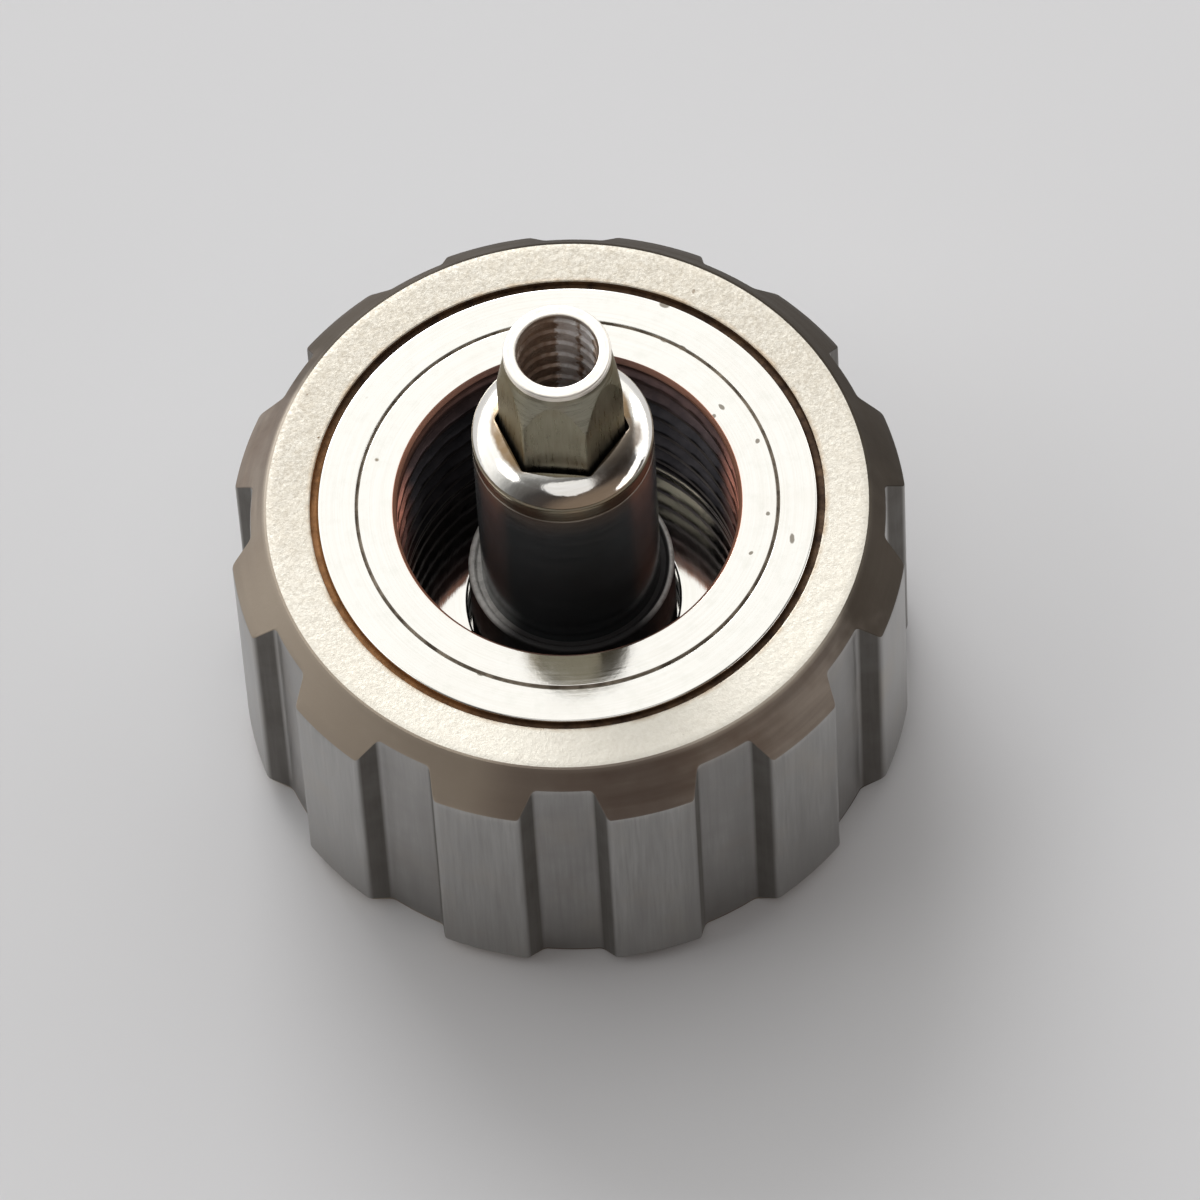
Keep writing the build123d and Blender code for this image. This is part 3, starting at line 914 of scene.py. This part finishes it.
padd(0.436, TIP_Z, 1)
padd(0.426, TIP_Z - 0.003, 1)
padd(0.420, TIP_Z - 0.012, 3)
theta_p = PT
for p in thread_rows(0.407, 0.440, 0.225, TIP_Z - 0.035, TIP_Z - 1.84, theta_p, 200, 0.05, 0.12):
    rings.append(p)
    bands.append(3)
padd(0.407, TIP_Z - 1.90, 3)
padd(0.20, TIP_Z - 2.01, 3)
rings.append((0, 0, TIP_Z - 2.12))
bands.append(3)
stem_post = skin("stem_post_visual", rings, bands, [M_POST, M_TIP, M_CONE, M_BORE], angle=26)

# ------------------------------------------------------ thrust washer and spring
thrust_washer = lathe(
    "thrust_washer_visual",
    fillet([(0.42, THRUST_Z0, 0.01), (0.76, THRUST_Z0, 0.02), (0.76, HEAD_Z0, 0.02), (0.42, HEAD_Z0, 0.01)], True),
    [M_POST], None, 128,
)

turns, wire, mean = 7.5, 0.08, 0.67
z_lo, z_hi = BARREL_FLOOR + wire + 0.004, THRUST_Z0 - wire - 0.004
steps = int(turns * 48)
rings = []
# the end turns lie close, as on a ground spring, and the rest share the height
dead = 1.0
for i in range(steps + 1):
    u = i / steps * turns
    a = 2 * math.pi * u
    low, high = dead * wire * 2.1, z_hi - z_lo - dead * wire * 2.1
    if u < dead:
        z = low * u / dead
    elif u > turns - dead:
        z = high + (z_hi - z_lo - high) * (u - turns + dead) / dead
    else:
        z = low + (high - low) * (u - dead) / (turns - 2 * dead)
    w = wire * (1.0 if 0.02 < i / steps < 0.98 else 0.96)
    c = np.array((mean * math.cos(a), mean * math.sin(a), z_lo + z))
    out = np.array((math.cos(a), math.sin(a), 0.0))
    up = np.array((0, 0, 1.0))
    q = np.linspace(0, 2 * math.pi, 17)[:-1]
    rings.append(c + w * (np.cos(q)[:, None] * out + np.sin(q)[:, None] * up))
rings = [tuple(rings[0].mean(0))] + rings + [tuple(rings[-1].mean(0))]
clutch_spring = skin("clutch_spring_visual", rings, [0] * len(rings), [M_WIRE], angle=40)

# ---------------------------------------------------- what rides on which body
for obj, node, body, slot_name in (
    (crown_cap, "crown_cap", "crown", "cap_steel"),
    (core_cup, "core_cup", "crown", "polished_steel"),
    (thread_bush, "thread_bush", "crown", "polished_steel"),
    (retainer_washer, "retainer_washer", "crown", "polished_steel"),
    (flat_gasket, "flat_gasket", "crown", "seal_rubber"),
    (barrel_seal, "barrel_seal", "crown", "seal_rubber"),
    (barrel, "barrel", "crown", "barrel_steel"),
    (hex_guide, "hex_guide", "crown", "polished_steel"),
    (clutch_spring, "clutch_spring", "crown", "spring_steel"),
    (stem_post, "stem_post", "stem", "post_steel"),
    (thrust_washer, "thrust_washer", "stem", "post_steel"),
):
    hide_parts(node)
    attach(obj, body)
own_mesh(clutch_spring)

# ------------------------------------------------------------------- camera
# The camera stands 60 degrees above the floor.
TURN = rad(-10.65)
EL, ROLL, DIST = rad(60.10), rad(3.9), 130.2
FOCAL_PX, CX, CY = 12655.0, 567.3, 502.6        # in a frame of 1200 by 1200


def camera_matrix():
    C = DIST * np.array([0, -math.cos(EL), math.sin(EL)])
    fwd = -C / np.linalg.norm(C)
    right = np.array([1.0, 0, 0])
    up = np.cross(right, fwd)
    d = np.array([(CX - 600) / FOCAL_PX, -(CY - 600) / FOCAL_PX, -1.0])
    d /= np.linalg.norm(d)
    R0 = np.stack([right, up, -fwd])
    cr, sr = math.cos(ROLL), math.sin(ROLL)
    Rr = np.array([[cr, -sr, 0], [sr, cr, 0], [0, 0, 1]])
    a = np.array([0, 0, -1.0])
    v, c = np.cross(a, d), float(a @ d)
    K = np.array([[0, -v[2], v[1]], [v[2], 0, -v[0]], [-v[1], v[0], 0]])
    R = (np.eye(3) + K + K @ K / (1 + c)) @ Rr @ R0
    m = np.eye(4)
    m[:3, :3] = R.T
    m[:3, 3] = C * MM
    turn = np.array(Matrix.Rotation(TURN, 4, "Z"))
    m = turn @ m
    m[2, 3] += RIM_Z * MM
    return Matrix(m.tolist())


cam = bpy.data.objects.new("camera", bpy.data.cameras.new("camera"))
bpy.context.scene.collection.objects.link(cam)
cam.data.sensor_width = 36.0
cam.data.lens = FOCAL_PX * 36.0 / 1200
cam.data.clip_start, cam.data.clip_end = 0.001, 10.0
cam.matrix_world = camera_matrix()
bpy.context.scene.camera = cam

# --------------------------------------------------------- floor and lighting
floor_mesh = bpy.data.meshes.new("floor")
S = 0.6
floor_mesh.from_pydata([(-S, -S, 0), (S, -S, 0), (S, S, 0), (-S, S, 0)], [], [(0, 1, 2, 3)])
floor = bpy.data.objects.new("floor", floor_mesh)
bpy.context.scene.collection.objects.link(floor)
fm = bpy.data.materials.new("floor_plain")
fm.use_nodes = True
fb = next(n for n in fm.node_tree.nodes if n.type == "BSDF_PRINCIPLED")
fb.inputs["Base Color"].default_value = (0.70, 0.70, 0.715, 1)
fb.inputs["Roughness"].default_value = 0.75
fb.inputs["Specular IOR Level"].default_value = 0.2
floor_mesh.materials.append(fm)


def turned(v):
    """A direction given with the camera on -Y, in the row frame."""
    return Matrix.Rotation(TURN, 3, "Z") @ Vector(v)


world = bpy.data.worlds.new("studio")
bpy.context.scene.world = world
world.use_nodes = True
wt = world.node_tree
bg = next(n for n in wt.nodes if n.type == "BACKGROUND")
tc = wt.nodes.new("ShaderNodeTexCoord")
dot = wt.nodes.new("ShaderNodeVectorMath")
dot.operation = "DOT_PRODUCT"
dot.inputs[1].default_value = turned((-0.45, 0.893, 0))
ramp = wt.nodes.new("ShaderNodeValToRGB")
wt.links.new(tc.outputs["Generated"], dot.inputs[0])
remap = wt.nodes.new("ShaderNodeMapRange")
remap.inputs["From Min"].default_value = -1.0
remap.inputs["From Max"].default_value = 1.0
wt.links.new(dot.outputs["Value"], remap.inputs["Value"])
wt.links.new(remap.outputs["Result"], ramp.inputs["Fac"])
wt.links.new(ramp.outputs["Color"], bg.inputs["Color"])
stops = [
    (0.00, (0.20, 0.15, 0.11)),
    (0.10, (0.18, 0.135, 0.10)),
    (0.21, (0.055, 0.045, 0.04)),
    (0.33, (0.052, 0.048, 0.046)),
    (0.42, (0.12, 0.115, 0.11)),
    (0.50, (0.20, 0.20, 0.197)),
    (0.60, (0.62, 0.62, 0.605)),
    (0.70, (1.02, 1.015, 0.995)),
    (0.85, (1.22, 1.215, 1.195)),
    (1.00, (1.42, 1.41, 1.39)),
]
el = ramp.color_ramp.elements
el[0].position, el[0].color = stops[0][0], (*stops[0][1], 1)
el[1].position, el[1].color = stops[-1][0], (*stops[-1][1], 1)
for pos, c in stops[1:-1]:
    k = el.new(pos)
    k.color = (*c, 1)
bg.inputs["Strength"].default_value = 1.0


def softbox(name, direction, distance, size, power, color=(1, 1, 1), tall=None):
    light = bpy.data.lights.new(name, "AREA")
    light.shape = "ELLIPSE" if tall else "DISK"
    light.size = size
    if tall:
        light.size_y = tall
    light.energy = power
    light.color = color
    o = bpy.data.objects.new(name, light)
    d = turned(direction).normalized()
    o.location = d * distance + Vector((0, 0, 0.003))
    o.rotation_mode = "QUATERNION"
    o.rotation_quaternion = d.to_track_quat("Z", "Y")
    bpy.context.scene.collection.objects.link(o)
    return o


softbox("key", (-0.24, 0.83, 0.56), 0.25, 0.16, 0.27)
softbox("front", (0.05, -0.43, 0.90), 0.25, 0.185, 0.060, tall=0.175)
softbox("left", (-0.70, -0.10, 0.707), 0.25, 0.106, 0.038)
softbox("right", (0.886, 0.414, 0.21), 0.25, 0.24, 0.160)
softbox("edge", (0.945, -0.20, 0.26), 0.25, 0.24, 0.058, tall=0.07)

bpy.context.scene.view_settings.view_transform = "Standard"
